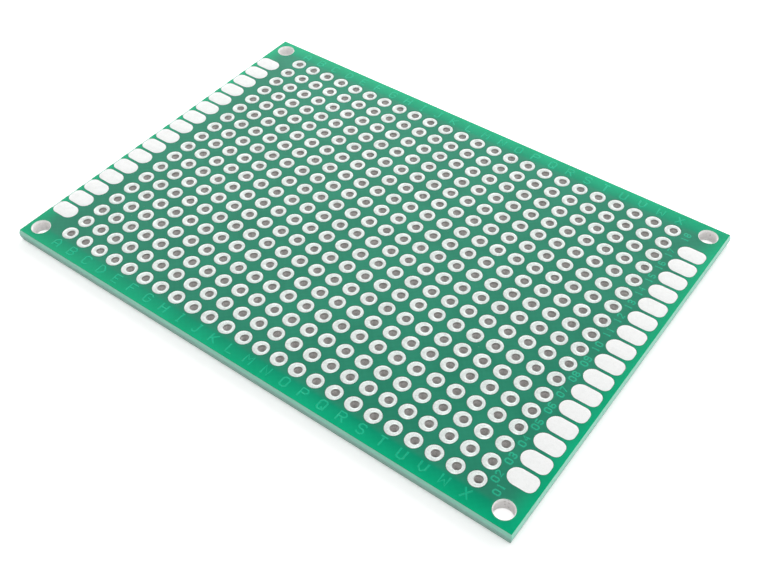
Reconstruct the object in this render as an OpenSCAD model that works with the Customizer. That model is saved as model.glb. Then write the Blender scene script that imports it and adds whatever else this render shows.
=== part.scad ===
// Double-sided prototype board: a glass-fibre sheet with a grid of plated lead
// holes, a comb of solder pads along each short end, four plated corner holes
// and a green coating on both faces.
// Columns run along X and rows along Y. The origin is under the middle of the
// board, on the surface that it lies on.

/* [Hole grid] */
// Lead holes along the board, one for each lettered column
columns = 24; // [4:1:40]
// Lead holes across the board, one for each numbered row
rows = 18; // [4:1:30]
// Distance between the middles of neighbouring lead holes
pitch = 2.54; // [2:0.01:5.08]
// Finished diameter of a lead hole
lead_bore_d = 1; // [0.7:0.05:1.1]
// Width of the bevel that leads into a lead hole
lead_mouth_w = 0.1; // [0.04:0.01:0.14]
// Depth of that bevel
lead_mouth_h = 0.01; // [0.005:0.005:0.03]
// Bare gap between neighbouring lands
land_gap = 0.54; // [0.3:0.02:0.7]
// Width of the falling shoulder round a land
land_shoulder_w = 0.24; // [0.1:0.02:0.3]
// Height that is lost across the shoulder of a land
land_shoulder_drop = 0.02; // [0.01:0.005:0.03]

/* [End pads] */
// Length of a pad, from its round inner end to its outer end
pad_l = 3.32; // [2.2:0.02:5]
// Bare gap between neighbouring pads
pad_gap = 0.41; // [0.3:0.01:0.8]
// Radius of the two outer corners of a pad
pad_corner_r = 0.8; // [0.1:0.05:0.95]
// Lead rows at each side of the board that have no pad beside them
rows_without_pad = 1; // [1:1:3]

/* [Board edges] */
// Bare strip between the last column of lands and the pads
number_strip_w = 0.96; // [0.5:0.02:4]
// Bare strip between the pads and the short edge of the face
pad_edge_strip_w = 0.38; // [0.1:0.01:2]
// Bare strip between the outer rows of lands and the long edge of the face
letter_strip_w = 2.28; // [1.5:0.02:6]
// Thickness of the web that was snapped between the scored grooves
score_web_t = 0.5; // [0.2:0.05:0.55]
// How far each face steps in from the snapped web, on the groove's slope
score_inset = 0.13; // [0.05:0.01:0.3]

/* [Layers] */
// Thickness of the glass-fibre sheet
laminate_t = 1.5; // [0.6:0.1:3]
// Thickness of the green coating on one face
coat_t = 0.03; // [0.02:0.005:0.06]
// Height of the metal above the coating
metal_proud = 0.02; // [0.01:0.005:0.05]
// Wall of the metal inside every drilled hole
plating_t = 0.02; // [0.02:0.005:0.08]
// Gap between the coating and the metal in each of its windows
window_gap = 0.05; // [0.02:0.01:0.1]

/* [Corner holes] */
// Finished diameter of a corner hole
corner_bore_d = 2.2; // [1.6:0.1:3.2]
// Width of the metal rim round a corner hole
corner_rim_w = 0.15; // [0.1:0.05:0.4]
// Bare strip between the rim of a corner hole and the edges of the face
corner_edge_strip_w = 0.6; // [0.3:0.05:1]

/* [Registration] */
// How far the metal pattern sits off the middle of the board, along it
pattern_shift_x = -0.25; // [-0.3:0.01:0.3]
// How far the metal pattern sits off the middle of the board, across it
pattern_shift_y = -0.03; // [-0.3:0.01:0.3]
// How far the drilled holes sit off the metal pattern, along the board
drill_shift_x = 0.12; // [-0.15:0.01:0.15]
// How far the drilled holes sit off the metal pattern, across the board
drill_shift_y = 0.04; // [-0.15:0.01:0.15]

/* [Hidden] */
$fn = 48;
// Length by which a cut runs past the face that it opens
overcut = 0.05;

land_r = (pitch - land_gap) / 2;
pad_w = pitch - pad_gap;
metal_h = coat_t + metal_proud;

grid_l = (columns - 1) * pitch;
grid_w = (rows - 1) * pitch;
face_l = grid_l + 2 * (land_r + number_strip_w + pad_l + pad_edge_strip_w);
face_w = grid_w + 2 * (land_r + letter_strip_w);
board_l = face_l + 2 * score_inset;
board_w = face_w + 2 * score_inset;

lead_bore_r = lead_bore_d / 2;
lead_drill_r = lead_bore_r + plating_t;
corner_bore_r = corner_bore_d / 2;
corner_drill_r = corner_bore_r + plating_t;
corner_rim_r = corner_bore_r + corner_rim_w;
corner_x = face_l / 2 - corner_edge_strip_w - corner_rim_r;
corner_y = face_w / 2 - corner_edge_strip_w - corner_rim_r;

laminate_z = metal_h;
laminate_top_z = laminate_z + laminate_t;
board_h = laminate_top_z + metal_h;

pattern_shift = [pattern_shift_x, pattern_shift_y];
drill_shift = [drill_shift_x, drill_shift_y];
pad_inner_x = grid_l / 2 + land_r + number_strip_w;

coat_green = [0.05, 0.5, 0.34];
laminate_green = [0.62, 0.74, 0.62];
tin_white = [0.86, 0.86, 0.85];

function two_digits(n) = n < 10 ? str("0", n) : str(n);
function hole_row_name(n) = str("hole_plating_row_", two_digits(n));
function column_x(c) = (c - 1) * pitch - grid_l / 2;
function row_y(r) = (r - 1) * pitch - grid_w / 2;

// Plan of a face of the board, inside the scored edges
module face_outline() {
    square([face_l, face_w], center = true);
}

// Places its child at every lead hole of one row, on the metal pattern
module along_row(r) {
    for (c = [1 : columns])
        translate([column_x(c), row_y(r)] + pattern_shift) children();
}

// Places its child at the four corner holes
module at_corners() {
    for (side_x = [-1, 1], side_y = [-1, 1])
        translate([side_x * corner_x, side_y * corner_y] + pattern_shift + drill_shift) children();
}

// Plan of one pad pointing along +X from the tip of its round end, grown all round
module pad_plan(grow = 0) {
    half_w = pad_w / 2 + grow;
    corner_r = pad_corner_r + grow;
    outer_x = pad_l + grow;
    translate([pad_w / 2, 0]) circle(half_w);
    translate([pad_w / 2, -half_w]) square([outer_x - corner_r - pad_w / 2, 2 * half_w]);
    translate([pad_w / 2, corner_r - half_w]) square([outer_x - pad_w / 2, 2 * (half_w - corner_r)]);
    for (side = [-1, 1])
        translate([outer_x - corner_r, side * (half_w - corner_r)]) circle(corner_r);
}

// Plans of all pads along one short end, side 1 for the right and -1 for the left
module pad_comb_plan(side, grow = 0) {
    for (r = [1 + rows_without_pad : rows - rows_without_pad])
        translate([0, row_y(r)] + pattern_shift)
            mirror([side < 0 ? 1 : 0, 0])
                translate([pad_inner_x, 0]) pad_plan(grow);
}

// Windows in the coating for the lands, pads and corner rims
module coating_windows() {
    for (r = [1 : rows])
        along_row(r) circle(land_r + window_gap);
    for (side = [-1, 1])
        pad_comb_plan(side, window_gap);
    at_corners() circle(corner_rim_r + window_gap);
}

// Green coating of one face
module coating() {
    color(coat_green)
        linear_extrude(coat_t)
            difference() {
                face_outline();
                coating_windows();
            }
}

// Section of the sheet across two scored edges: sloped grooves above and below a web
module scored_section(width) {
    half = width / 2;
    web_low_z = laminate_z + (laminate_t - score_web_t) / 2;
    web_high_z = web_low_z + score_web_t;
    polygon([
        [score_inset - half, laminate_z],
        [half - score_inset, laminate_z],
        [half, web_low_z],
        [half, web_high_z],
        [half - score_inset, laminate_top_z],
        [score_inset - half, laminate_top_z],
        [-half, web_high_z],
        [-half, web_low_z]
    ]);
}

// Sheet before drilling, scored and snapped along all four edges
module snapped_sheet() {
    intersection() {
        rotate([90, 0, 0]) linear_extrude(board_w, center = true) scored_section(board_l);
        rotate([90, 0, 90]) linear_extrude(board_l, center = true) scored_section(board_w);
    }
}

// Plan of every drilled hole
module drilled_holes() {
    for (r = [1 : rows])
        along_row(r) translate(drill_shift) circle(lead_drill_r);
    at_corners() circle(corner_drill_r);
}

// Glass-fibre sheet with every drilled hole
module laminate() {
    color(laminate_green)
        difference() {
            snapped_sheet();
            linear_extrude(board_h) drilled_holes();
        }
}

module coating_top() {
    translate([0, 0, laminate_top_z]) coating();
}

module coating_bottom() {
    translate([0, 0, laminate_z - coat_t]) coating();
}

// One land as a solid disc with a falling shoulder, standing on z = 0
module land_disc() {
    rotate_extrude()
        polygon([
            [0, 0],
            [land_r, 0],
            [land_r, metal_h - land_shoulder_drop],
            [land_r - land_shoulder_w, metal_h],
            [0, metal_h]
        ]);
}

// Space inside a lead hole, with a bevelled mouth in the metal of both faces
module lead_hole_space() {
    outside_r = lead_bore_r + lead_mouth_w * (lead_mouth_h + overcut) / lead_mouth_h;
    rotate_extrude()
        polygon([
            [0, -overcut],
            [outside_r, -overcut],
            [lead_bore_r, lead_mouth_h],
            [lead_bore_r, board_h - lead_mouth_h],
            [outside_r, board_h + overcut],
            [0, board_h + overcut]
        ]);
}

// One plated lead hole: a barrel through the sheet with a land on each face
module plated_hole() {
    difference() {
        union() {
            translate(drill_shift) cylinder(r = lead_drill_r, h = board_h);
            translate([0, 0, laminate_top_z]) land_disc();
            translate([0, 0, laminate_z]) mirror([0, 0, 1]) land_disc();
        }
        translate(drill_shift) lead_hole_space();
    }
}

module plated_hole_row(r) {
    color(tin_white)
        along_row(r) plated_hole();
}

// Pads of one short end on one face, trimmed by the edge of the face
module end_pads(side) {
    color(tin_white)
        linear_extrude(metal_h)
            intersection() {
                face_outline();
                pad_comb_plan(side);
            }
}

module end_pads_left_top() {
    translate([0, 0, laminate_top_z]) end_pads(-1);
}

module end_pads_left_bottom() {
    end_pads(-1);
}

module end_pads_right_top() {
    translate([0, 0, laminate_top_z]) end_pads(1);
}

module end_pads_right_bottom() {
    end_pads(1);
}

// Metal lining of the corner holes, with a narrow rim on each face
module corner_hole_sleeves() {
    color(tin_white)
        at_corners()
            rotate_extrude()
                polygon([
                    [corner_bore_r, 0],
                    [corner_rim_r, 0],
                    [corner_rim_r, laminate_z],
                    [corner_drill_r, laminate_z],
                    [corner_drill_r, laminate_top_z],
                    [corner_rim_r, laminate_top_z],
                    [corner_rim_r, board_h],
                    [corner_bore_r, board_h]
                ]);
}

laminate();
coating_top();
coating_bottom();
for (r = [1 : rows])
    plated_hole_row(r);
end_pads_left_top();
end_pads_left_bottom();
end_pads_right_top();
end_pads_right_bottom();
corner_hole_sleeves();
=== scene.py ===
"""Looks of a double-sided prototype board: coating, tinned holes and pads, lettering, light and camera.

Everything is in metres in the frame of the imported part, and sizes are written in millimetres times MM.
"""
import math

import bpy
import numpy as np
from mathutils import Matrix, Vector


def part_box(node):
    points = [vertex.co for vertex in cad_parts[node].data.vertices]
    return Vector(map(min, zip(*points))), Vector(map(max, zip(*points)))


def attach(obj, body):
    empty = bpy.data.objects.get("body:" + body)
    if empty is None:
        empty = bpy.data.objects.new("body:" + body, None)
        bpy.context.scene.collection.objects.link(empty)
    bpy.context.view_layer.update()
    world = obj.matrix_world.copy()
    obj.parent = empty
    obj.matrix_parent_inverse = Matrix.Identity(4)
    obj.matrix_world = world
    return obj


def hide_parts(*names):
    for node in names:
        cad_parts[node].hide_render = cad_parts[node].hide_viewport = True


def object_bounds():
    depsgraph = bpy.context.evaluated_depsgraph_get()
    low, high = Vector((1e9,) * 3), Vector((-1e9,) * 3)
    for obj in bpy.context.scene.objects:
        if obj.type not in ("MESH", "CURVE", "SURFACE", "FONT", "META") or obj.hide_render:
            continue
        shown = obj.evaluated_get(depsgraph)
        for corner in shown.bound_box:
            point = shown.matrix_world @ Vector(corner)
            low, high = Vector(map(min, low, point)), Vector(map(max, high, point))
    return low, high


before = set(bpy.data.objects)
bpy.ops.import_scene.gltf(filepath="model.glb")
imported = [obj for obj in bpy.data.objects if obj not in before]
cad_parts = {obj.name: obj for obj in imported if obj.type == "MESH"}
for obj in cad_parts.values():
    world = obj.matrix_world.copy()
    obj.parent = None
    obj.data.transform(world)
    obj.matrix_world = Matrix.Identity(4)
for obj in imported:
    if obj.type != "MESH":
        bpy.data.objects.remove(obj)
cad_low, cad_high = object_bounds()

MM = 0.001

# The hole grid and the pads, as the frame holds them
COLUMN_LETTERS = "ABCDEFGHIJKLMNOPQRSTUVWX"
ROW_NODES = sorted(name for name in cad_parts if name.startswith("hole_plating_row_"))
PAD_NODES = sorted(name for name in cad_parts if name.startswith("end_pads_"))
ROW_BOXES = [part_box(name) for name in ROW_NODES]
LAND_R = (ROW_BOXES[0][1].y - ROW_BOXES[0][0].y) / 2
FIRST_COLUMN_X = ROW_BOXES[0][0].x + LAND_R
PITCH = (ROW_BOXES[0][1].x - LAND_R - FIRST_COLUMN_X) / (len(COLUMN_LETTERS) - 1)
COLUMN_X = [FIRST_COLUMN_X + i * PITCH for i in range(len(COLUMN_LETTERS))]
ROW_Y = [(low.y + high.y) / 2 for low, high in ROW_BOXES]
FACE_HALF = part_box("coating_top")[1]
PAD_ROWS_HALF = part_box("end_pads_right_top")[1].y

# Heights of the layers, as the frame holds them
LAMINATE_LOW_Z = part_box("laminate")[0].z
LAMINATE_TOP_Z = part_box("laminate")[1].z
LAMINATE_HALF_T = (LAMINATE_TOP_Z - LAMINATE_LOW_Z) / 2
COATING_TOP_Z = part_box("coating_top")[1].z
BOARD_TOP_Z = cad_high.z
BOARD_MIDDLE_Z = BOARD_TOP_Z / 2
METAL_H = BOARD_TOP_Z - LAMINATE_TOP_Z

# Lead holes and their lands: rims are shares of the crest, and the wobble is a share of the radius
LEAD_BORE_R = 0.5 * MM
LEAD_MOUTH_DEPTH = 0.08 * MM
PLATING_T = 0.02 * MM
DRILL_SHIFT = Vector((0.12 * MM, 0.04 * MM))
DRILL_WANDER = 0.008 * MM
LAND_EDGE_PULL = 0.02 * MM
LAND_CREST_SPREAD = (-0.006 * MM, 0.004 * MM)
LAND_CROWN_STEPS = (0.0, 0.1, 0.28, 0.5, 0.72, 0.9, 1.0)
LAND_CROWN_POWER = 2.2
LAND_OUTER_RIM = 0.4
LAND_INNER_RIM = 0.1
LAND_OVAL = 0.010
LAND_CLOVER = 0.007
HOLE_SEGMENTS = 28
FIRST_ROW_SEED = 1

# End pads: the rim, spread of height and tilt are shares of the metal's height
PAD_GAP = 0.41 * MM
PAD_HALF_W = (PITCH - PAD_GAP) / 2
PAD_CORNER_R = 0.8 * MM
PAD_SHOULDER = 0.16 * MM
PAD_RIM = 0.35
PAD_HEIGHT_SPREAD = (0.93, 1.03)
PAD_TILT_SPREAD = (-0.05, 0.05)
PAD_TIP_START = 0.004 * PAD_HALF_W
PAD_STEPS_ALONG = 22
PAD_STEPS_ACROSS = 12
FIRST_PAD_SEED = 101

# Corner holes
CORNER_BORE_R = 1.1 * MM
CORNER_RIM_W = 0.15 * MM
CORNER_RIM_R = CORNER_BORE_R + CORNER_RIM_W
CORNER_MOUTH_DEPTH = 0.04 * MM
CORNER_SEAM_Z = BOARD_MIDDLE_Z + 0.3 * MM
CORNER_SEGMENTS = 64

# Lip of a corner hole: distance from the bore, and height over the sheet as a share of the metal's height
CORNER_LIP = [
    (CORNER_RIM_W, 0.0),
    (CORNER_RIM_W, 0.4),
    (CORNER_RIM_W - 0.04 * MM, 0.7),
    (0.06 * MM, 1.0),
    (0.03 * MM, 0.9),
    (0.008 * MM, 0.3),
]

# Coating that laps over the rim of a corner hole
COATING_WINDOW_GAP = 0.05 * MM
BARE_LIP_W = 0.07 * MM
LAP_ROOT = 0.01 * MM
LAP_T = 0.008 * MM
LAP_FILM = 0.001 * MM
LAP_SLOPE_W = 0.02 * MM

# Lettering on the coating
LETTER_W = 0.82 * MM
LETTER_H = 1.2 * MM
LETTER_STROKE = 0.23 * MM
LETTER_ROW_OFFSET = 2.04 * MM
DIGIT_W = 0.48 * MM
DIGIT_H = 0.74 * MM
DIGIT_STROKE = 0.21 * MM
DIGIT_STEP = 0.8 * MM
NUMBER_OFFSET = Vector((1.4, -1.17)) * MM
FIRST_NUMBER_OFFSET = Vector((2.34, 0.17)) * MM
LAST_NUMBER_OFFSET = Vector((1.82, -0.2)) * MM
STROKE_PROUD = 0.012 * MM
STROKE_BEVEL_STEPS = 2

# Strokes of each sign on a grid four wide and six high: a point is its x and y digits
GRID_W = 4
GRID_H = 6
ROUND_SIGN = "10 30 41 45 36 16 05 01 10"
STROKES = {
    "A": ["00 04 26 44 40", "02 42"],
    "B": ["00 06 36 45 44 33 03", "33 42 41 30 00"],
    "C": ["45 36 16 05 01 10 30 41"],
    "D": ["00 06 26 44 42 20 00"],
    "E": ["46 06 00 40", "03 33"],
    "F": ["46 06 00", "03 33"],
    "G": ["45 36 16 05 01 10 30 41 43 23"],
    "H": ["00 06", "40 46", "03 43"],
    "I": ["16 36", "26 20", "10 30"],
    "J": ["26 46", "36 31 20 10 01"],
    "K": ["00 06", "46 02", "13 40"],
    "L": ["06 00 40"],
    "M": ["00 06 23 46 40"],
    "N": ["00 06 40 46"],
    "O": [ROUND_SIGN],
    "P": ["00 06 36 45 44 33 03"],
    "Q": [ROUND_SIGN, "22 40"],
    "R": ["00 06 36 45 44 33 03", "23 40"],
    "S": ["45 36 16 05 04 13 33 42 41 30 10 01"],
    "T": ["06 46", "26 20"],
    "U": ["06 01 10 30 41 46"],
    "V": ["06 02 20 42 46"],
    "W": ["06 00 23 40 46"],
    "X": ["00 46", "06 40"],
    "0": [ROUND_SIGN],
    "1": ["15 26 20", "10 30"],
    "2": ["05 16 36 45 44 00 40"],
    "3": ["05 16 36 45 44 33 13", "33 42 41 30 10 01"],
    "4": ["30 36 02 42"],
    "5": ["46 06 03 33 42 41 30 10 01"],
    "6": ["45 36 16 05 01 10 30 41 42 33 03"],
    "7": ["06 46 10"],
    "8": ["33 44 45 36 16 05 04 13 33 42 41 30 10 01 02 13"],
    "9": ["01 10 30 41 45 36 16 05 04 13 43"],
}

# Sizes of the effects that finishes share
CLOTH_THREAD = 0.42 * MM
BORDER_START = -0.4 * MM
BORDER_REACH = 2.8 * MM
LETTER_STRIP_FADE = (1.7 * MM, 2.4 * MM)
PAD_END_REACH = 0.35 * MM
PAD_END_COSINES = (-0.5, 0.2)
PAD_COMB_FADE = 0.2 * MM

# Grain of the finishes: waves or cells in a metre, and the size and share of specks in their cells
COATING_SKIN = {"Broad": 220.0, "Fine": 5200.0}
LAMINATE_SKIN = {"Broad": 700.0, "Fine": 9000.0}
TIN_SKIN = {"Broad": 1500.0, "Fine": 9000.0}
DUST_SPECKS = {"Density": 1400.0, "Size": 0.10, "Share": 0.05}
TORN_FIBRES = {"Density": 5200.0, "Size": 0.45, "Share": 0.4}
FINE_PITS = {"Density": 3200.0, "Size": 0.16, "Share": 0.12}
COARSE_PITS = {"Density": 2200.0, "Size": 0.4, "Share": 0.4}

# Green coating: pairs of greens over the hole grid, in the lettered strips and by the edges of the face,
# with painted light and shade
# The grid pair is darker and redder: painted shade where metal on both faces keeps light from coming through
# the sheet, plus painted light spilled from the bright lands. The edge pair is painted light coming through
# the bare sheet by the edges.
COATING_GREENS_WITH_PAINTED_LIGHT = [
    [(0.020, 0.195, 0.118, 1), (0.024, 0.235, 0.143, 1)],
    [(0.003, 0.215, 0.118, 1), (0.004, 0.255, 0.143, 1)],
    [(0.001, 0.345, 0.163, 1), (0.002, 0.395, 0.195, 1)],
]
# The lettering's greens carry the same painted shade over the grid and painted light by the edges
LETTERING_GREENS_WITH_PAINTED_LIGHT = [
    [(0.016, 0.35, 0.205, 1), (0.02, 0.395, 0.235, 1)],
    [(0.005, 0.35, 0.198, 1), (0.007, 0.395, 0.228, 1)],
    [(0.005, 0.41, 0.212, 1), (0.008, 0.462, 0.247, 1)],
]
COATING_ROUGHNESS = (0.14, 0.19)
LETTERING_ROUGHNESS = (0.2, 0.28)
COATING_MOTTLE = (0.3, 0.7)
COATING_CLOUD = 0.75
COATING_WEAVE = 0.25
COATING_WEAVE_RELIEF = 0.35
COATING_BUMP = (0.25, 0.004 * MM)
COATING_SPECULAR = 0.22
PAD_END_GREEN = (0.62, 0.86, 0.78, 1)
DUST = (0.35, 0.55, 0.45, 1)
DUST_COVER = 0.35

# Snapped laminate
SCORE_WEB_T = 0.5 * MM
WEB_EDGE = (0.42 * SCORE_WEB_T, 0.56 * SCORE_WEB_T)
# The foot's green and its fade are painted shade, darker towards the bottom of the edge
FOOT_SHADE_FADE = (0.25 * BOARD_MIDDLE_Z, 1.3 * BOARD_MIDDLE_Z)
FACE_EDGE = (LAMINATE_HALF_T - 0.01 * MM, LAMINATE_HALF_T - 0.001 * MM)
PLY_STRETCH = (1.0, 1.0, 14.0)
PLY_WAVES = 900.0
SLOPE_GREENS = [(0.19, 0.54, 0.40, 1), (0.30, 0.66, 0.52, 1)]
WEB_GREENS = [(0.22, 0.47, 0.39, 1), (0.40, 0.62, 0.54, 1)]
FOOT_SHADE_GREEN = (0.20, 0.36, 0.30, 1)
# The faces' dark green is painted shade, for the gaps in the coating where the sheet shows
FACE_SHADE_GREEN = (0.02, 0.16, 0.10, 1)
FIBRE_TONE = 0.4
STREAK_TONE = 0.7
STREAK_RELIEF = 0.6
CLOTH_RELIEF = 0.1
LAMINATE_ROUGHNESS = (0.32, 0.8)
LAMINATE_BUMP = (0.5, 0.03 * MM)
LAMINATE_SPECULAR = 0.75

# Tin, with depths below the nearer face of the board; painted shade and painted light on the walls of the
# holes fade in over the mouth and deep depths
MOUTH_SHADING_DEPTHS = (0.06 * MM, 0.14 * MM)
STAIN_DEPTHS = (0.1 * MM, 0.2 * MM)
DEEP_SHADING_DEPTHS = (0.15 * MM, 0.5 * MM)
STAIN_GRAIN = (0.42, 0.62)
HOLE_STAIN = (0.30, 0.27, 0.26, 1)
TIN_GRAIN_TONE = 0.45
TIN_MOTTLE_TONE = 0.55
TIN_CLOUD = (0.36, 0.62)
TIN_MOTTLE = (0.32, 0.66)
TIN_GRAIN_RELIEF = 0.35
TIN_BUMP = (0.35, 0.02 * MM)

# Stage and light: the sky's stops are heights of a direction with the grey seen there
FLOOR_HALF = 1500 * MM
FLOOR_GREY = (0.9, 0.9, 0.9, 1)
FLOOR_GLOW = 0.31
# Under the board the floor glows brighter as painted light, where the board shades it and the holes show it
UNDER_BOARD_PAINTED_LIGHT = 0.5
UNDER_BOARD_FADE = 0.7 * MM
LAMP_PLACE = Vector((-40, 110, 75)) * MM
LAMP_SIZE = 120 * MM
LAMP_POWER = 0.12
SKY_STOPS = [
    (0.0, 0.72),
    (0.5, 0.7),
    (0.62, 0.5),
    (0.72, 0.3),
    (0.8, 0.05),
    (0.9, 0.03),
    (0.95, 1.0),
    (1.0, 1.0),
]
WORLD_STRENGTH = 2.2
NEAR_SIDE = (-0.6, 0.2)
NEAR_SIDE_SHARE = 0.5
RIGHT_SIDE = (0.2, 0.9)
RIGHT_SIDE_SHARE = 1.3
PLAIN_WHITE = (1, 1, 1, 1)

# Camera
CAMERA_PLACE = Vector((54.368, -70.407, 87.192)) * MM
CAMERA_AIM = Vector((6.529, -6.593, 1.6)) * MM
CAMERA_ROLL = math.radians(-0.509)
CAMERA_LENS = 47.943
CAMERA_SENSOR = 36.0
CAMERA_CLIP = 5 * MM

# Edges of a mesh stay sharp above this angle
CREASE_ANGLE = math.radians(50.0)

# Sockets of a mix node that mixes colours
MIX_SHARE = 0
MIX_FIRST = 6
MIX_SECOND = 7
MIX_RESULT = 2


# Node helpers

def add_node(tree, kind, **values):
    """Adds a node and sets its properties."""
    node = tree.nodes.new(kind)
    for key, value in values.items():
        setattr(node, key, value)
    return node


def set_input(tree, socket, value):
    """Links a socket to the input, or writes a plain value to it."""
    if isinstance(value, bpy.types.NodeSocket):
        tree.links.new(value, socket)
    else:
        socket.default_value = value


def math_node(tree, operation, *values):
    """Works out one operation on its values."""
    node = add_node(tree, "ShaderNodeMath", operation=operation)
    for socket, value in zip(node.inputs, values):
        set_input(tree, socket, value)
    return node.outputs[0]


def remap(tree, value, from_low, from_high, to_low, to_high):
    """Maps a value from one range to another, with soft ends."""
    node = add_node(tree, "ShaderNodeMapRange", interpolation_type="SMOOTHSTEP")
    for socket, item in zip(node.inputs, (value, from_low, from_high, to_low, to_high)):
        set_input(tree, socket, item)
    return node.outputs[0]


def mix_colour(tree, share, first, second):
    """Mixes two colours by the share of the second."""
    node = add_node(tree, "ShaderNodeMix", data_type="RGBA")
    set_input(tree, node.inputs[MIX_SHARE], share)
    set_input(tree, node.inputs[MIX_FIRST], first)
    set_input(tree, node.inputs[MIX_SECOND], second)
    return node.outputs[MIX_RESULT]


def noise(tree, position, scale, detail, roughness):
    """Soft noise at a position."""
    node = add_node(tree, "ShaderNodeTexNoise")
    set_input(tree, node.inputs["Vector"], position)
    set_input(tree, node.inputs["Scale"], scale)
    set_input(tree, node.inputs["Detail"], detail)
    set_input(tree, node.inputs["Roughness"], roughness)
    return node.outputs["Fac"]


def bump(tree, height, strength, depth):
    """Normal of a surface with a fine relief."""
    node = add_node(tree, "ShaderNodeBump")
    node.inputs["Strength"].default_value = strength
    node.inputs["Distance"].default_value = depth
    tree.links.new(height, node.inputs["Height"])
    return node.outputs[0]


def object_position(tree):
    """Place of a point in the frame of the part."""
    return add_node(tree, "ShaderNodeTexCoord").outputs["Object"]


def position_parts(tree):
    """The x, y and z of that place."""
    split = add_node(tree, "ShaderNodeSeparateXYZ")
    tree.links.new(object_position(tree), split.inputs[0])
    return tuple(split.outputs)


def height_off_middle(tree):
    """Distance of a point above or below the middle of the board."""
    z = position_parts(tree)[2]
    return math_node(tree, "ABSOLUTE", math_node(tree, "SUBTRACT", z, BOARD_MIDDLE_Z))


def new_group(name, inputs, outputs):
    """Starts a shader node group and returns its tree, its input node and its output node."""
    tree = bpy.data.node_groups.new(name, "ShaderNodeTree")
    for label, value in inputs.items():
        socket = tree.interface.new_socket(label, in_out="INPUT", socket_type="NodeSocketFloat")
        socket.default_value = value
    for label in outputs:
        tree.interface.new_socket(label, in_out="OUTPUT", socket_type="NodeSocketFloat")
    return tree, tree.nodes.new("NodeGroupInput"), tree.nodes.new("NodeGroupOutput")


def use_group(tree, group, **values):
    """Places a node group in a material with its own values and returns its outputs."""
    node = add_node(tree, "ShaderNodeGroup", node_tree=group)
    for name, value in values.items():
        set_input(tree, node.inputs[name], value)
    return node.outputs


def new_material(name):
    """Starts a material and returns it with its tree and its main shader."""
    material = bpy.data.materials.new(name)
    material.use_nodes = True
    return material, material.node_tree, material.node_tree.nodes["Principled BSDF"]


# Effects that several finishes share

def glass_cloth_group():
    """The woven glass cloth of the sheet, which shows faintly through resin and coating."""
    tree, given, out = new_group("glass cloth", {"Thread": CLOTH_THREAD}, ["Weave"])
    x, y, _ = position_parts(tree)
    turns = math_node(tree, "DIVIDE", math.pi, given.outputs["Thread"])
    warp = math_node(tree, "SINE", math_node(tree, "MULTIPLY", x, turns))
    weft = math_node(tree, "SINE", math_node(tree, "MULTIPLY", y, turns))
    crossing = math_node(tree, "MULTIPLY", warp, weft)
    tree.links.new(math_node(tree, "MULTIPLY_ADD", crossing, 0.5, 0.5), out.inputs["Weave"])
    return tree


def skin_group():
    """Soft unevenness of a poured or dipped surface, broad and fine."""
    tree, given, out = new_group("uneven skin", COATING_SKIN, ["Mottle", "Grain"])
    position = object_position(tree)
    mottle = noise(tree, position, given.outputs["Broad"], detail=4.0, roughness=0.55)
    grain = noise(tree, position, given.outputs["Fine"], detail=2.0, roughness=0.5)
    tree.links.new(mottle, out.inputs["Mottle"])
    tree.links.new(grain, out.inputs["Grain"])
    return tree


def speck_group():
    """Scattered small specks: dust, pits or cut fibre ends."""
    tree, given, out = new_group("specks", DUST_SPECKS, ["Specks"])
    cells = add_node(tree, "ShaderNodeTexVoronoi", feature="F1")
    tree.links.new(object_position(tree), cells.inputs["Vector"])
    tree.links.new(given.outputs["Density"], cells.inputs["Scale"])
    near = remap(tree, cells.outputs["Distance"], 0.0, given.outputs["Size"], 1.0, 0.0)
    split = add_node(tree, "ShaderNodeSeparateColor")
    tree.links.new(cells.outputs["Color"], split.inputs[0])
    chosen = math_node(tree, "LESS_THAN", split.outputs[0], given.outputs["Share"])
    tree.links.new(math_node(tree, "MULTIPLY", near, chosen), out.inputs["Specks"])
    return tree


def border_group():
    """How near a point is to the edge of the face, and a mask of the lettered strips."""
    tree, given, out = new_group("open border", {"Reach": BORDER_REACH}, ["Border", "Strip"])
    x, y, _ = position_parts(tree)
    gap_x = math_node(tree, "SUBTRACT", FACE_HALF.x, math_node(tree, "ABSOLUTE", x))
    gap_y = math_node(tree, "SUBTRACT", FACE_HALF.y, math_node(tree, "ABSOLUTE", y))
    gap = math_node(tree, "MINIMUM", gap_x, gap_y)
    border = remap(tree, gap, BORDER_START, given.outputs["Reach"], 1.0, 0.0)
    strip = remap(tree, gap_y, *LETTER_STRIP_FADE, 1.0, 0.0)
    tree.links.new(border, out.inputs["Border"])
    tree.links.new(strip, out.inputs["Strip"])
    return tree


def pad_end_group():
    """The narrow strip between each left pad and the edge of the face, where the coating runs thin."""
    tree, given, out = new_group("thin pad ends", {"Reach": PAD_END_REACH}, ["Thin"])
    x, y, _ = position_parts(tree)
    from_edge = math_node(tree, "ADD", x, FACE_HALF.x)
    by_edge = remap(tree, from_edge, 0.0, given.outputs["Reach"], 1.0, 0.0)
    from_row = math_node(tree, "SUBTRACT", y, ROW_Y[0])
    turns = math_node(tree, "DIVIDE", from_row, PITCH / (2 * math.pi))
    by_pad = remap(tree, math_node(tree, "COSINE", turns), *PAD_END_COSINES, 0.0, 1.0)
    from_middle = math_node(tree, "ABSOLUTE", y)
    in_comb = remap(tree, from_middle, PAD_ROWS_HALF, PAD_ROWS_HALF + PAD_COMB_FADE, 1.0, 0.0)
    thin = math_node(tree, "MULTIPLY", by_edge, math_node(tree, "MULTIPLY", by_pad, in_comb))
    tree.links.new(thin, out.inputs["Thin"])
    return tree


GLASS_CLOTH = glass_cloth_group()
SKIN = skin_group()
SPECKS = speck_group()
BORDER = border_group()
PAD_END = pad_end_group()


# Green coating

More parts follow.
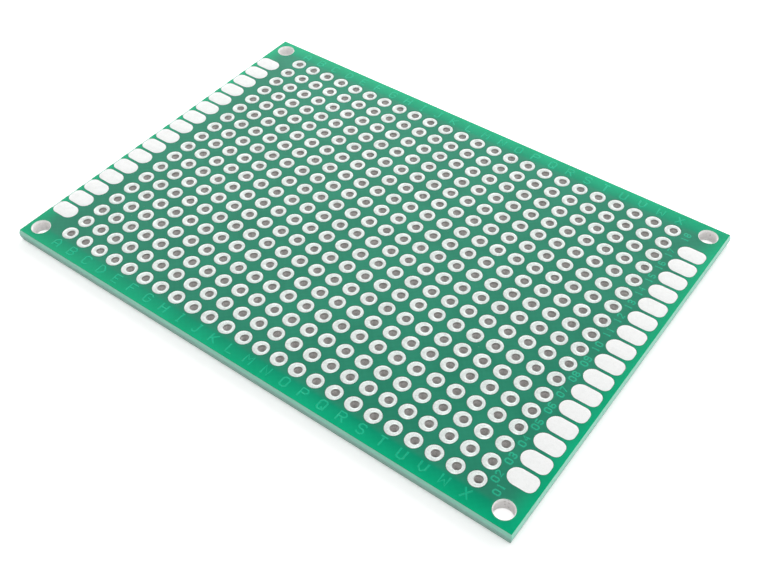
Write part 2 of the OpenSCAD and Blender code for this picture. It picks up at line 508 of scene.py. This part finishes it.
def coating_colour_with_painted_light(tree, greens, tone):
    """Greens of the coating with painted light and shade: darker over the hole grid as painted shade, purer
    in the lettered strips, lighter by the edges as painted light through the sheet.
    """
    grid, strip, edge = [mix_colour(tree, tone, *pair) for pair in greens]
    border = use_group(tree, BORDER, Reach=BORDER_REACH)
    # Painted shade over the grid gives way to painted light in the lettered strips and by the edges
    colour = mix_colour(tree, border["Strip"], grid, strip)
    colour = mix_colour(tree, border["Border"], colour, edge)
    thin = use_group(tree, PAD_END, Reach=PAD_END_REACH)["Thin"]
    colour = mix_colour(tree, thin, colour, PAD_END_GREEN)
    specks = use_group(tree, SPECKS, **DUST_SPECKS)["Specks"]
    return mix_colour(tree, math_node(tree, "MULTIPLY", specks, DUST_COVER), colour, DUST)


def coating_finish(name, greens, roughness):
    """Green coating over the sheet: slightly cloudy, faintly woven and a little dusty."""
    material, tree, shader = new_material(name)
    weave = use_group(tree, GLASS_CLOTH, Thread=CLOTH_THREAD)["Weave"]
    skin = use_group(tree, SKIN, **COATING_SKIN)
    cloud = remap(tree, skin["Mottle"], *COATING_MOTTLE, 0.0, COATING_CLOUD)
    tone = math_node(tree, "MULTIPLY_ADD", weave, COATING_WEAVE, cloud)
    set_input(tree, shader.inputs["Base Color"], coating_colour_with_painted_light(tree, greens, tone))
    set_input(tree, shader.inputs["Roughness"], remap(tree, skin["Mottle"], *COATING_MOTTLE, *roughness))
    height = math_node(tree, "MULTIPLY_ADD", weave, COATING_WEAVE_RELIEF, skin["Grain"])
    set_input(tree, shader.inputs["Normal"], bump(tree, height, *COATING_BUMP))
    shader.inputs["Specular IOR Level"].default_value = COATING_SPECULAR
    return material


# Laminate

def ply_streaks(tree):
    """Streaks along the edges of the sheet, where its plies lie."""
    plies = add_node(tree, "ShaderNodeMapping")
    plies.inputs["Scale"].default_value = PLY_STRETCH
    tree.links.new(object_position(tree), plies.inputs["Vector"])
    return noise(tree, plies.outputs[0], PLY_WAVES, detail=4.0, roughness=0.6)


def laminate_colour(tree, web, streaks, fibres):
    """Greens of the sheet: its slopes, its web, painted shade at its foot, and its faces under the coating
    darkened with painted shade.
    """
    slopes = mix_colour(tree, streaks, *SLOPE_GREENS)
    torn = math_node(tree, "MULTIPLY", streaks, STREAK_TONE)
    torn = math_node(tree, "MULTIPLY_ADD", fibres, FIBRE_TONE, torn)
    colour = mix_colour(tree, web, slopes, mix_colour(tree, torn, *WEB_GREENS))
    # Painted shade towards the foot of the edge, then painted shade on the faces under the coating
    foot = remap(tree, position_parts(tree)[2], *FOOT_SHADE_FADE, 1.0, 0.0)
    colour = mix_colour(tree, foot, colour, FOOT_SHADE_GREEN)
    face_shade = remap(tree, height_off_middle(tree), *FACE_EDGE, 0.0, 1.0)
    return mix_colour(tree, face_shade, colour, FACE_SHADE_GREEN)


def laminate_relief(tree, web, streaks, fibres):
    """Relief of the sheet: torn fibres on the web, its plies and a trace of the cloth."""
    grain = use_group(tree, SKIN, **LAMINATE_SKIN)["Grain"]
    weave = use_group(tree, GLASS_CLOTH, Thread=CLOTH_THREAD)["Weave"]
    torn = math_node(tree, "MULTIPLY", web, math_node(tree, "ADD", fibres, grain))
    cloth = math_node(tree, "MULTIPLY", weave, CLOTH_RELIEF)
    return math_node(tree, "ADD", torn, math_node(tree, "MULTIPLY_ADD", streaks, STREAK_RELIEF, cloth))


def laminate_finish():
    """Resin and glass: smooth scored slopes, and a paler rough web with torn fibres where it was snapped."""
    material, tree, shader = new_material("snapped glass laminate")
    web = remap(tree, height_off_middle(tree), *WEB_EDGE, 1.0, 0.0)
    streaks = ply_streaks(tree)
    fibres = use_group(tree, SPECKS, **TORN_FIBRES)["Specks"]
    set_input(tree, shader.inputs["Base Color"], laminate_colour(tree, web, streaks, fibres))
    set_input(tree, shader.inputs["Roughness"], remap(tree, web, 0.0, 1.0, *LAMINATE_ROUGHNESS))
    height = laminate_relief(tree, web, streaks, fibres)
    set_input(tree, shader.inputs["Normal"], bump(tree, height, *LAMINATE_BUMP))
    shader.inputs["Specular IOR Level"].default_value = LAMINATE_SPECULAR
    return material


# Tin

def depth_in_hole(tree):
    """Depth of a point below the nearer face of the board."""
    return math_node(tree, "SUBTRACT", BOARD_MIDDLE_Z, height_off_middle(tree))


def lining_shading_and_stains(tree, colour, grain, mouth, deep_shading, stained):
    """Painted light and shade on the tin inside a hole, at its mouth and on its wall further in, and stains.
    """
    depth = depth_in_hole(tree)
    # The mouth's colour and the deeper wall's colour are painted light and shade, not the tin's own colour
    colour = mix_colour(tree, remap(tree, depth, *MOUTH_SHADING_DEPTHS, 0.0, 1.0), colour, mouth)
    colour = mix_colour(tree, remap(tree, depth, *DEEP_SHADING_DEPTHS, 0.0, 1.0), colour, deep_shading)
    inside = remap(tree, depth, *STAIN_DEPTHS, 0.0, stained)
    blotches = remap(tree, grain, *STAIN_GRAIN, 1.0, 0.0)
    return mix_colour(tree, math_node(tree, "MULTIPLY", inside, blotches), colour, HOLE_STAIN)


def tin_colour(tree, skin, bright, dull, lining, pits, pitted):
    """Shades of the tin: bright where it pooled, duller in between, and pitted."""
    mottle = math_node(tree, "MULTIPLY", skin["Mottle"], TIN_MOTTLE_TONE)
    uneven = math_node(tree, "MULTIPLY_ADD", skin["Grain"], TIN_GRAIN_TONE, mottle)
    colour = mix_colour(tree, remap(tree, uneven, *TIN_CLOUD, 0.0, 1.0), dull, bright)
    if lining:
        colour = lining_shading_and_stains(tree, colour, skin["Grain"], **lining)
    specks = use_group(tree, SPECKS, **pits)["Specks"]
    return mix_colour(tree, math_node(tree, "MULTIPLY", specks, pitted), colour, HOLE_STAIN)


def tin_finish(name, roughness, metallic, **colours):
    """Dipped tin, smoother where it pooled. A pair for metallic is for the face and for deep in a hole."""
    material, tree, shader = new_material(name)
    skin = use_group(tree, SKIN, **TIN_SKIN)
    set_input(tree, shader.inputs["Base Color"], tin_colour(tree, skin, **colours))
    smooth, rough = roughness
    set_input(tree, shader.inputs["Roughness"], remap(tree, skin["Mottle"], *TIN_MOTTLE, rough, smooth))
    height = math_node(tree, "MULTIPLY_ADD", skin["Grain"], TIN_GRAIN_RELIEF, skin["Mottle"])
    set_input(tree, shader.inputs["Normal"], bump(tree, height, *TIN_BUMP))
    if isinstance(metallic, tuple):
        far_in = remap(tree, depth_in_hole(tree), *DEEP_SHADING_DEPTHS, 0.0, 1.0)
        metallic = remap(tree, far_in, 0.0, 1.0, *metallic)
    set_input(tree, shader.inputs["Metallic"], metallic)
    return material


def land_tin():
    """Tin on the lands and in the lead holes, with painted shade at the mouth and, further in, matt tin
    painted pale as painted light.
    """
    return tin_finish(
        "tin on lands",
        roughness=(0.42, 0.54),
        metallic=(1.0, 0.0),
        bright=(0.935, 1.0, 0.975, 1),
        dull=(0.74, 0.80, 0.775, 1),
        # In the lead holes the mouth is painted shade and the wall further in is painted light
        lining={"mouth": (0.62, 0.605, 0.59, 1), "deep_shading": (1.0, 0.985, 0.97, 1), "stained": 0.35},
        pits=FINE_PITS,
        pitted=0.15,
    )


def pad_tin():
    """Tin on the end pads."""
    return tin_finish(
        "tin on end pads",
        roughness=(0.52, 0.62),
        metallic=1.0,
        bright=(0.975, 0.983, 0.977, 1),
        dull=(0.92, 0.928, 0.922, 1),
        lining=None,
        pits=FINE_PITS,
        pitted=0.15,
    )


def corner_tin():
    """Dull pale tin in the corner holes, with coarser specks, and the walls of the holes painted lighter as
    painted light, most at the mouth.
    """
    return tin_finish(
        "tin in corner holes",
        roughness=(0.5, 0.65),
        metallic=0.1,
        bright=(0.85, 0.85, 0.84, 1),
        dull=(0.75, 0.75, 0.74, 1),
        # The walls of the corner holes are painted light, lightest at the mouth
        lining={"mouth": (0.98, 0.97, 0.96, 1), "deep_shading": (0.90, 0.89, 0.88, 1), "stained": 0.15},
        pits=COARSE_PITS,
        pitted=0.45,
    )


COATING = coating_finish("green coating", COATING_GREENS_WITH_PAINTED_LIGHT, COATING_ROUGHNESS)
LETTERING = coating_finish("coating over lettering", LETTERING_GREENS_WITH_PAINTED_LIGHT, LETTERING_ROUGHNESS)
LAMINATE = laminate_finish()
LAND_TIN = land_tin()
PAD_TIN = pad_tin()
CORNER_TIN = corner_tin()


# Mesh helpers

def add_object(name, data):
    """Makes an object and puts it in the scene."""
    made = bpy.data.objects.new(name, data)
    bpy.context.scene.collection.objects.link(made)
    return made


def mesh_piece(name, points, faces, material):
    """Makes a smooth-shaded object from points and faces, with its sharp edges kept."""
    mesh = bpy.data.meshes.new(name)
    mesh.from_pydata([tuple(p) for p in points], [], [tuple(f) for f in faces])
    mesh.validate()
    mesh.shade_smooth()
    mesh.set_sharp_from_angle(angle=CREASE_ANGLE)
    mesh.materials.append(material)
    return add_object(name, mesh)


def stand_for(piece, node):
    """Lets a piece stand for a CAD node on the board: hangs it on the board's root body and hides the node.
    """
    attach(piece, "root")
    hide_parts(node)


def ring_faces(first, rings, segments):
    """Faces of a closed ring of rings, whose points follow each other ring by ring."""
    faces = []
    for i in range(rings):
        here = first + i * segments
        there = first + (i + 1) % rings * segments
        for j in range(segments):
            k = (j + 1) % segments
            faces.append((here + j, here + k, there + k, there + j))
    return faces


def both_faces(profile):
    """Adds to a profile of the upper half its mirror image in the lower half, in running order."""
    return profile + [(r, 2 * BOARD_MIDDLE_Z - z, *rest) for r, z, *rest in reversed(profile)]


# Tinned lead holes

def lead_hole_profile(crest):
    """Half section of a tinned hole: the soft round ring of its land, then the wall of its bore.

    Each point has a radius, a height and a seat: 0 on the land's middle, 1 on the drill's.
    """
    foot = LAMINATE_TOP_Z
    edge_r = LAND_R - LAND_EDGE_PULL
    ring_w = edge_r - LEAD_BORE_R
    section = [(LEAD_BORE_R + PLATING_T, foot, 1.0), (edge_r, foot, 0.0)]
    for across in LAND_CROWN_STEPS:
        dome = 1 - abs(2 * across - 1) ** LAND_CROWN_POWER
        rim = LAND_OUTER_RIM if across < 0.5 else LAND_INNER_RIM
        section.append((edge_r - across * ring_w, foot + crest * (rim + (1 - rim) * dome), across))
    section.append((LEAD_BORE_R, foot - LEAD_MOUTH_DEPTH, 1.0))
    return section


def tinned_hole(x, y, draw):
    """Points of one tinned hole, a little uneven and with its bore a little off the middle of its land."""
    crest = METAL_H + draw.uniform(*LAND_CREST_SPREAD)
    profile = both_faces(lead_hole_profile(crest))
    drill = DRILL_SHIFT + Vector((draw.uniform(-1, 1), draw.uniform(-1, 1))) * DRILL_WANDER
    lobe = draw.uniform(0.0, 2 * math.pi, 2)
    angles = np.arange(HOLE_SEGMENTS) * 2 * math.pi / HOLE_SEGMENTS
    wobble = LAND_OVAL * np.cos(2 * angles + lobe[0]) + LAND_CLOVER * np.cos(3 * angles + lobe[1])
    points = []
    for radius, height, seat in profile:
        reach = radius * (1 - (1 - seat) * np.abs(wobble))
        ring = np.empty((HOLE_SEGMENTS, 3))
        ring[:, 0] = x + seat * drill.x + reach * np.cos(angles)
        ring[:, 1] = y + seat * drill.y + reach * np.sin(angles)
        ring[:, 2] = height
        points.append(ring)
    return np.concatenate(points), len(profile)


def tinned_row(node, row_y, seed):
    """One row of tinned holes as a piece."""
    draw = np.random.default_rng(seed)
    points, faces = [], []
    count = 0
    for x in COLUMN_X:
        hole, rings = tinned_hole(x, row_y, draw)
        faces += ring_faces(count, rings, HOLE_SEGMENTS)
        points.append(hole)
        count += len(hole)
    name = "tinned_holes_" + node.removeprefix("hole_plating_")
    piece = mesh_piece(name, np.concatenate(points), faces, LAND_TIN)
    stand_for(piece, node)


# End pads

def pad_half_width(along, length):
    """Half width of a pad at a distance from the tip of its round end."""
    if along < PAD_HALF_W:
        return math.sqrt(max(PAD_HALF_W ** 2 - (PAD_HALF_W - along) ** 2, 0.0))
    past = along - (length - PAD_CORNER_R)
    if past > 0:
        return PAD_HALF_W - PAD_CORNER_R + math.sqrt(max(PAD_CORNER_R ** 2 - past ** 2, 0.0))
    return PAD_HALF_W


def pad_stations(length):
    """Distances along a pad, closer together on its round stretches."""
    third = PAD_STEPS_ALONG // 3
    corner_x = length - PAD_CORNER_R
    turns = [math.pi / 2 * i / third for i in range(third + 1)]
    tip = [PAD_HALF_W * (1 - math.cos(turn)) for turn in turns[1:-1]]
    straight = np.linspace(PAD_HALF_W, corner_x, PAD_STEPS_ALONG - 2 * third, endpoint=False)
    corner = [corner_x + PAD_CORNER_R * math.sin(turn) for turn in turns]
    return [PAD_TIP_START] + tip + list(straight) + corner


def pad_height(gap_to_rim, full):
    """Height of the tin over the sheet at a distance from the pad's rim."""
    return full * (PAD_RIM + (1 - PAD_RIM) * (1 - math.exp(-gap_to_rim / PAD_SHOULDER)))


def pad_faces(stations, across, flip):
    """Faces of a pad: its top, its base and the wall between them."""
    shift = stations * across
    faces = []
    for i in range(stations - 1):
        for j in range(across - 1):
            a = i * across + j
            quad = (a, a + across, a + across + 1, a + 1)
            faces.append(quad)
            faces.append(tuple(shift + k for k in reversed(quad)))
    rim = list(range(across))
    rim += [i * across + across - 1 for i in range(1, stations)]
    rim += [(stations - 1) * across + j for j in range(across - 2, -1, -1)]
    rim += [i * across for i in range(stations - 2, 0, -1)]
    for a, b in zip(rim, rim[1:] + rim[:1]):
        faces.append((a, b, shift + b, shift + a))
    return [tuple(reversed(f)) for f in faces] if flip else faces


def end_pad(low_x, high_x, middle_y, side, up, draw):
    """Points and faces of one pad that points inwards with its round end, with a soft crowned top."""
    length = high_x - low_x
    full = METAL_H * draw.uniform(*PAD_HEIGHT_SPREAD)
    tilt = draw.uniform(*PAD_TILT_SPREAD)
    stations = pad_stations(length)
    across = np.sin(np.linspace(-math.pi / 2, math.pi / 2, PAD_STEPS_ACROSS + 1))
    tip_x = low_x if side > 0 else high_x
    foot = LAMINATE_TOP_Z if up else LAMINATE_LOW_Z
    sense = 1 if up else -1
    top, base = [], []
    for along in stations:
        reach = pad_half_width(along, length)
        for share in across:
            rim = min(reach * (1 - abs(share)), length - along, along)
            lift = pad_height(rim, full) * (1 + tilt * share)
            place = (tip_x + side * along, middle_y + share * reach)
            top.append((*place, foot + sense * lift))
            base.append((*place, foot))
    return np.array(top + base), pad_faces(len(stations), len(across), (side > 0) != up)


def end_pad_comb(node, seed):
    """All pads of one short end on one face as a piece."""
    low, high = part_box(node)
    side = 1 if low.x > 0 else -1
    up = low.z > BOARD_MIDDLE_Z
    draw = np.random.default_rng(seed)
    points, faces = [], []
    count = 0
    for middle_y in ROW_Y[1:-1]:
        pad, quads = end_pad(low.x, high.x, middle_y, side, up, draw)
        faces += [tuple(count + k for k in quad) for quad in quads]
        points.append(pad)
        count += len(pad)
    piece = mesh_piece("tinned_" + node, np.concatenate(points), faces, PAD_TIN)
    stand_for(piece, node)


# Corner holes

def corner_profile():
    """Half section of a corner hole's lining, with a rounded lip that falls outwards."""
    outer_r = CORNER_BORE_R + PLATING_T
    lip = [(CORNER_BORE_R + gap, LAMINATE_TOP_Z + METAL_H * share) for gap, share in CORNER_LIP]
    outside = [(outer_r, CORNER_SEAM_Z), (outer_r, LAMINATE_TOP_Z)]
    wall = [(CORNER_BORE_R, LAMINATE_TOP_Z - CORNER_MOUTH_DEPTH), (CORNER_BORE_R, CORNER_SEAM_Z)]
    return outside + lip + wall


def lap_profile():
    """Section of the coating where it laps over the rim of a corner hole."""
    window_r = CORNER_RIM_R + COATING_WINDOW_GAP
    end_r = CORNER_BORE_R + BARE_LIP_W
    return [
        (window_r + LAP_ROOT, COATING_TOP_Z - LAP_ROOT),
        (window_r, COATING_TOP_Z + LAP_FILM),
        (CORNER_RIM_R, COATING_TOP_Z + LAP_T),
        (end_r + LAP_SLOPE_W, BOARD_TOP_Z - LAP_FILM),
        (end_r, BOARD_TOP_Z - LAP_T),
    ]


def corner_places():
    """Middles of the four corner holes."""
    low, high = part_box("corner_hole_sleeves")
    for x in (low.x + CORNER_RIM_R, high.x - CORNER_RIM_R):
        for y in (low.y + CORNER_RIM_R, high.y - CORNER_RIM_R):
            yield x, y


def corner_rings(profiles):
    """Points and faces of closed sections turned about each corner hole."""
    angles = np.arange(CORNER_SEGMENTS) * 2 * math.pi / CORNER_SEGMENTS
    points, faces = [], []
    for x, y in corner_places():
        for profile in profiles:
            faces += ring_faces(len(points), len(profile), CORNER_SEGMENTS)
            points += [(x + r * math.cos(a), y + r * math.sin(a), z) for r, z in profile for a in angles]
    return points, faces


def corner_linings():
    """The four lined corner holes as one piece."""
    points, faces = corner_rings([both_faces(corner_profile())])
    piece = mesh_piece("tinned_corner_holes", points, faces, CORNER_TIN)
    stand_for(piece, "corner_hole_sleeves")


def corner_laps():
    """The coating that laps over the rims of the corner holes, on both faces, as one piece."""
    upper = lap_profile()
    lower = both_faces(upper)[len(upper):]
    points, faces = corner_rings([upper, lower])
    piece = mesh_piece("coating_laps", points, faces, COATING)
    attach(piece, "root")


# Lettering

def sign_strokes(sign, width, height):
    """The strokes of one sign about its middle."""
    for stroke in STROKES[sign]:
        knots = [(int(x) / GRID_W - 0.5, int(y) / GRID_H - 0.5) for x, y in stroke.split()]
        yield [(x * width, y * height) for x, y in knots]


def add_stroke(curve, points):
    """Adds a stroke to a curve, as a closed one where it ends at its start."""
    spline = curve.splines.new("POLY")
    closed = points[0] == points[-1]
    used = points[:-1] if closed else points
    spline.points.add(len(used) - 1)
    for knot, (x, y) in zip(spline.points, used):
        knot.co = (x, y, 0.0, 1.0)
    spline.use_cyclic_u = closed


def stroke_mesh(name, strokes, stroke_w):
    """Mesh of low rounded ridges along the strokes, half sunk in the coating."""
    curve = bpy.data.curves.new(name, "CURVE")
    curve.dimensions = "3D"
    curve.bevel_depth = stroke_w / 2
    curve.bevel_resolution = STROKE_BEVEL_STEPS
    curve.use_fill_caps = True
    for points in strokes:
        add_stroke(curve, points)
    drawn = add_object(name + "_strokes", curve)
    bpy.context.view_layer.update()
    mesh = bpy.data.meshes.new_from_object(drawn.evaluated_get(bpy.context.evaluated_depsgraph_get()))
    bpy.data.objects.remove(drawn)
    flat = STROKE_PROUD / (stroke_w / 2)
    mesh.transform(Matrix.Translation((0, 0, COATING_TOP_Z)) @ Matrix.Diagonal((1, 1, flat, 1)))
    return mesh


def stroke_piece(name, strokes, stroke_w):
    """Signs on the coating as one piece."""
    mesh = stroke_mesh(name, strokes, stroke_w)
    mesh.shade_smooth()
    mesh.materials.clear()
    mesh.materials.append(LETTERING)
    piece = add_object(name, mesh)
    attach(piece, "root")


def column_letters():
    """A letter for each column, along both long edges."""
    strokes = []
    for y in (ROW_Y[0] - LETTER_ROW_OFFSET, ROW_Y[-1] + LETTER_ROW_OFFSET):
        for letter, x in zip(COLUMN_LETTERS, COLUMN_X):
            for stroke in sign_strokes(letter, LETTER_W, LETTER_H):
                strokes.append([(x + dx, y + dy) for dx, dy in stroke])
    stroke_piece("column_letters", strokes, LETTER_STROKE)


def number_middle(index):
    """Middle of a row's number: beside its land for the first and last row, else just below its row."""
    if index == 0:
        offset = FIRST_NUMBER_OFFSET
    elif index == len(ROW_Y) - 1:
        offset = LAST_NUMBER_OFFSET
    else:
        offset = NUMBER_OFFSET
    return COLUMN_X[-1] + offset.x, ROW_Y[index] + offset.y


def row_numbers():
    """A two-digit number for each row beside the last column, turned to read away from the near edge."""
    strokes = []
    for index in range(len(ROW_Y)):
        x, y = number_middle(index)
        for digit, step in zip("%02d" % (index + 1), (-0.5, 0.5)):
            for stroke in sign_strokes(digit, DIGIT_W, DIGIT_H):
                strokes.append([(x - dy, y + step * DIGIT_STEP + dx) for dx, dy in stroke])
    stroke_piece("row_numbers", strokes, DIGIT_STROKE)


# Stage, light and camera

def floor_finish():
    """Pale matt floor that keeps the shadow and looks white to the camera, with painted light under the
    board, where it shows through the holes.
    """
    material = bpy.data.materials.new("pale floor")
    material.use_nodes = True
    tree = material.node_tree
    tree.nodes.clear()
    camera = add_node(tree, "ShaderNodeLightPath").outputs["Is Camera Ray"]
    matt = add_node(tree, "ShaderNodeBsdfDiffuse")
    matt.inputs["Color"].default_value = FLOOR_GREY
    border = use_group(tree, BORDER, Reach=UNDER_BOARD_FADE)["Border"]
    glow = add_node(tree, "ShaderNodeEmission")
    # Painted light: the floor under the board glows brighter to the camera than the floor around it
    level = remap(tree, border, 0.0, 1.0, UNDER_BOARD_PAINTED_LIGHT, FLOOR_GLOW)
    tree.links.new(math_node(tree, "MULTIPLY", camera, level), glow.inputs["Strength"])
    both = add_node(tree, "ShaderNodeAddShader")
    tree.links.new(matt.outputs[0], both.inputs[0])
    tree.links.new(glow.outputs[0], both.inputs[1])
    out = add_node(tree, "ShaderNodeOutputMaterial")
    tree.links.new(both.outputs[0], out.inputs["Surface"])
    return material


def pale_floor():
    """A large square floor under the board."""
    corners = [(-1, -1), (1, -1), (1, 1), (-1, 1)]
    points = [(x * FLOOR_HALF, y * FLOOR_HALF, 0.0) for x, y in corners]
    floor = mesh_piece("floor", points, [(0, 1, 2, 3)], floor_finish())


def sky_ramp(tree, height):
    """Grey of the sky: bright near the horizon, dim higher up and bright overhead."""
    ramp = add_node(tree, "ShaderNodeValToRGB")
    ramp.color_ramp.interpolation = "EASE"
    while len(ramp.color_ramp.elements) < len(SKY_STOPS):
        ramp.color_ramp.elements.new(0.5)
    for element, (place, value) in zip(ramp.color_ramp.elements, SKY_STOPS):
        element.position = place
        element.color = (value, value, value, 1)
    tree.links.new(height, ramp.inputs[0])
    return ramp.outputs[0]


def studio_world():
    """Soft light from all round, weaker from the near side, which the camera sees as plain white."""
    world = bpy.data.worlds.new("soft studio")
    bpy.context.scene.world = world
    world.use_nodes = True
    tree = world.node_tree
    split = add_node(tree, "ShaderNodeSeparateXYZ")
    tree.links.new(add_node(tree, "ShaderNodeTexCoord").outputs["Generated"], split.inputs[0])
    x, y, z = split.outputs
    background = tree.nodes["Background"]
    camera = add_node(tree, "ShaderNodeLightPath").outputs["Is Camera Ray"]
    tree.links.new(mix_colour(tree, camera, sky_ramp(tree, z), PLAIN_WHITE), background.inputs["Color"])
    near = remap(tree, y, *NEAR_SIDE, NEAR_SIDE_SHARE, 1.0)
    right = remap(tree, x, *RIGHT_SIDE, 1.0, RIGHT_SIDE_SHARE)
    strength = math_node(tree, "MULTIPLY", math_node(tree, "MULTIPLY", near, right), WORLD_STRENGTH)
    tree.links.new(remap(tree, camera, 0.0, 1.0, strength, 1.0), background.inputs["Strength"])


def soft_lamp():
    """A square soft lamp behind the far left corner."""
    light = bpy.data.lights.new("soft lamp", "AREA")
    light.shape = "SQUARE"
    light.size = LAMP_SIZE
    light.energy = LAMP_POWER
    lamp = add_object("soft lamp", light)
    lamp.location = LAMP_PLACE
    lamp.rotation_mode = "QUATERNION"
    lamp.rotation_quaternion = (-LAMP_PLACE).to_track_quat("-Z", "Y")
    lamp.visible_glossy = False
    lamp.visible_camera = False


def photo_camera():
    """The camera, where the photo was taken from."""
    data = bpy.data.cameras.new("camera")
    data.lens = CAMERA_LENS
    data.sensor_width = CAMERA_SENSOR
    data.clip_start = CAMERA_CLIP
    camera = add_object("camera", data)
    aim = (CAMERA_AIM - CAMERA_PLACE).to_track_quat("-Z", "Y").to_matrix().to_4x4()
    camera.matrix_world = Matrix.Translation(CAMERA_PLACE) @ aim @ Matrix.Rotation(CAMERA_ROLL, 4, "Z")
    bpy.context.scene.camera = camera


# The board

def dress_node(name, material):
    """Gives a CAD node that keeps its shape a better finish."""
    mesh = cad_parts[name].data
    mesh.materials.clear()
    mesh.materials.append(material)


dress_node("laminate", LAMINATE)
dress_node("coating_top", COATING)
dress_node("coating_bottom", COATING)
for seed, (row_node, row_middle) in enumerate(zip(ROW_NODES, ROW_Y), start=FIRST_ROW_SEED):
    tinned_row(row_node, row_middle, seed)
for seed, pad_node in enumerate(PAD_NODES, start=FIRST_PAD_SEED):
    end_pad_comb(pad_node, seed)
corner_linings()
corner_laps()
column_letters()
row_numbers()
pale_floor()
studio_world()
soft_lamp()
photo_camera()
bpy.context.scene.view_settings.view_transform = "Standard"
